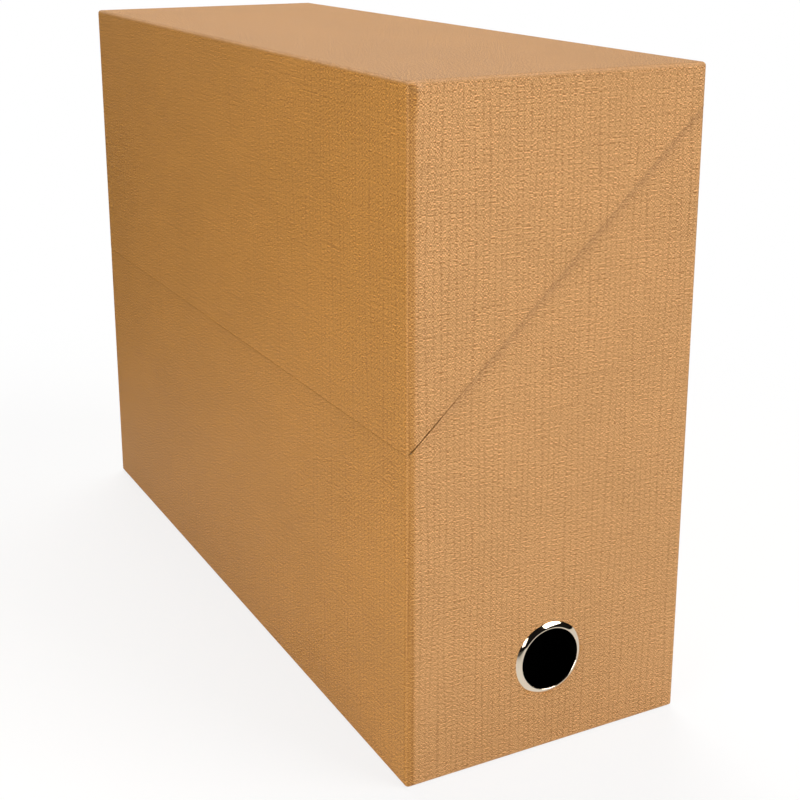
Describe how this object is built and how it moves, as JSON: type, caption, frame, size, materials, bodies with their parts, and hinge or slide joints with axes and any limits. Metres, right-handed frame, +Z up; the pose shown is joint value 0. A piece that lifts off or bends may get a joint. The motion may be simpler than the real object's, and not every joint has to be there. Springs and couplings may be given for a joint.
{
  "type": "filing box",
  "caption": "Upright rigid paper-covered filing box with a side-hinged lid cut on a slant across both ends and a metal finger ring low on one end.",
  "frame": {"origin": "middle of the footprint, on the surface the box stands on", "axes": "+Z up, Y along the length with the finger-ring end at -Y, X across the width with the hinge at +X and the lid's flap at -X"},
  "size_m": [0.12, 0.3412, 0.255],
  "materials": {
    "cover_paper": "satin",
    "greyboard": "matte",
    "lining_paper": "matte",
    "collar_card": "matte",
    "ring_metal": "polished",
    "washer_metal": "satin"
  },
  "bodies": {
    "box_body": {"base_board": "greyboard", "front_wall_board": "greyboard", "rear_wall_board": "greyboard", "ring_end_board": "greyboard", "plain_end_board": "greyboard", "front_cover_paper": "cover_paper", "rear_cover_paper": "cover_paper", "base_paper": "cover_paper", "ring_end_sheet": "cover_paper", "plain_end_sheet": "cover_paper", "hinge_crease": "cover_paper", "body_lining": "lining_paper", "ring_end_lining": "lining_paper", "plain_end_lining": "lining_paper", "front_collar": "collar_card", "ring_end_collar": "collar_card", "plain_end_collar": "collar_card", "finger_ring": "ring_metal", "ring_back_washer": "washer_metal"},
    "lid": {"lid_top_board": "greyboard", "lid_flap_board": "greyboard", "lid_hinge_strip": "greyboard", "lid_ring_end_board": "greyboard", "lid_plain_end_board": "greyboard", "lid_cover_paper": "cover_paper", "lid_ring_end_sheet": "cover_paper", "lid_plain_end_sheet": "cover_paper", "lid_lining": "lining_paper", "lid_ring_end_lining": "lining_paper", "lid_plain_end_lining": "lining_paper"}
  },
  "joints": [
    {"name": "lid_hinge", "type": "hinge", "parent": "box_body", "child": "lid", "pos_m": [0.06, 0, 0.2405], "axis": [0, 1, 0], "range_deg": [0, 175], "deforming": ["hinge_crease"]}
  ]
}
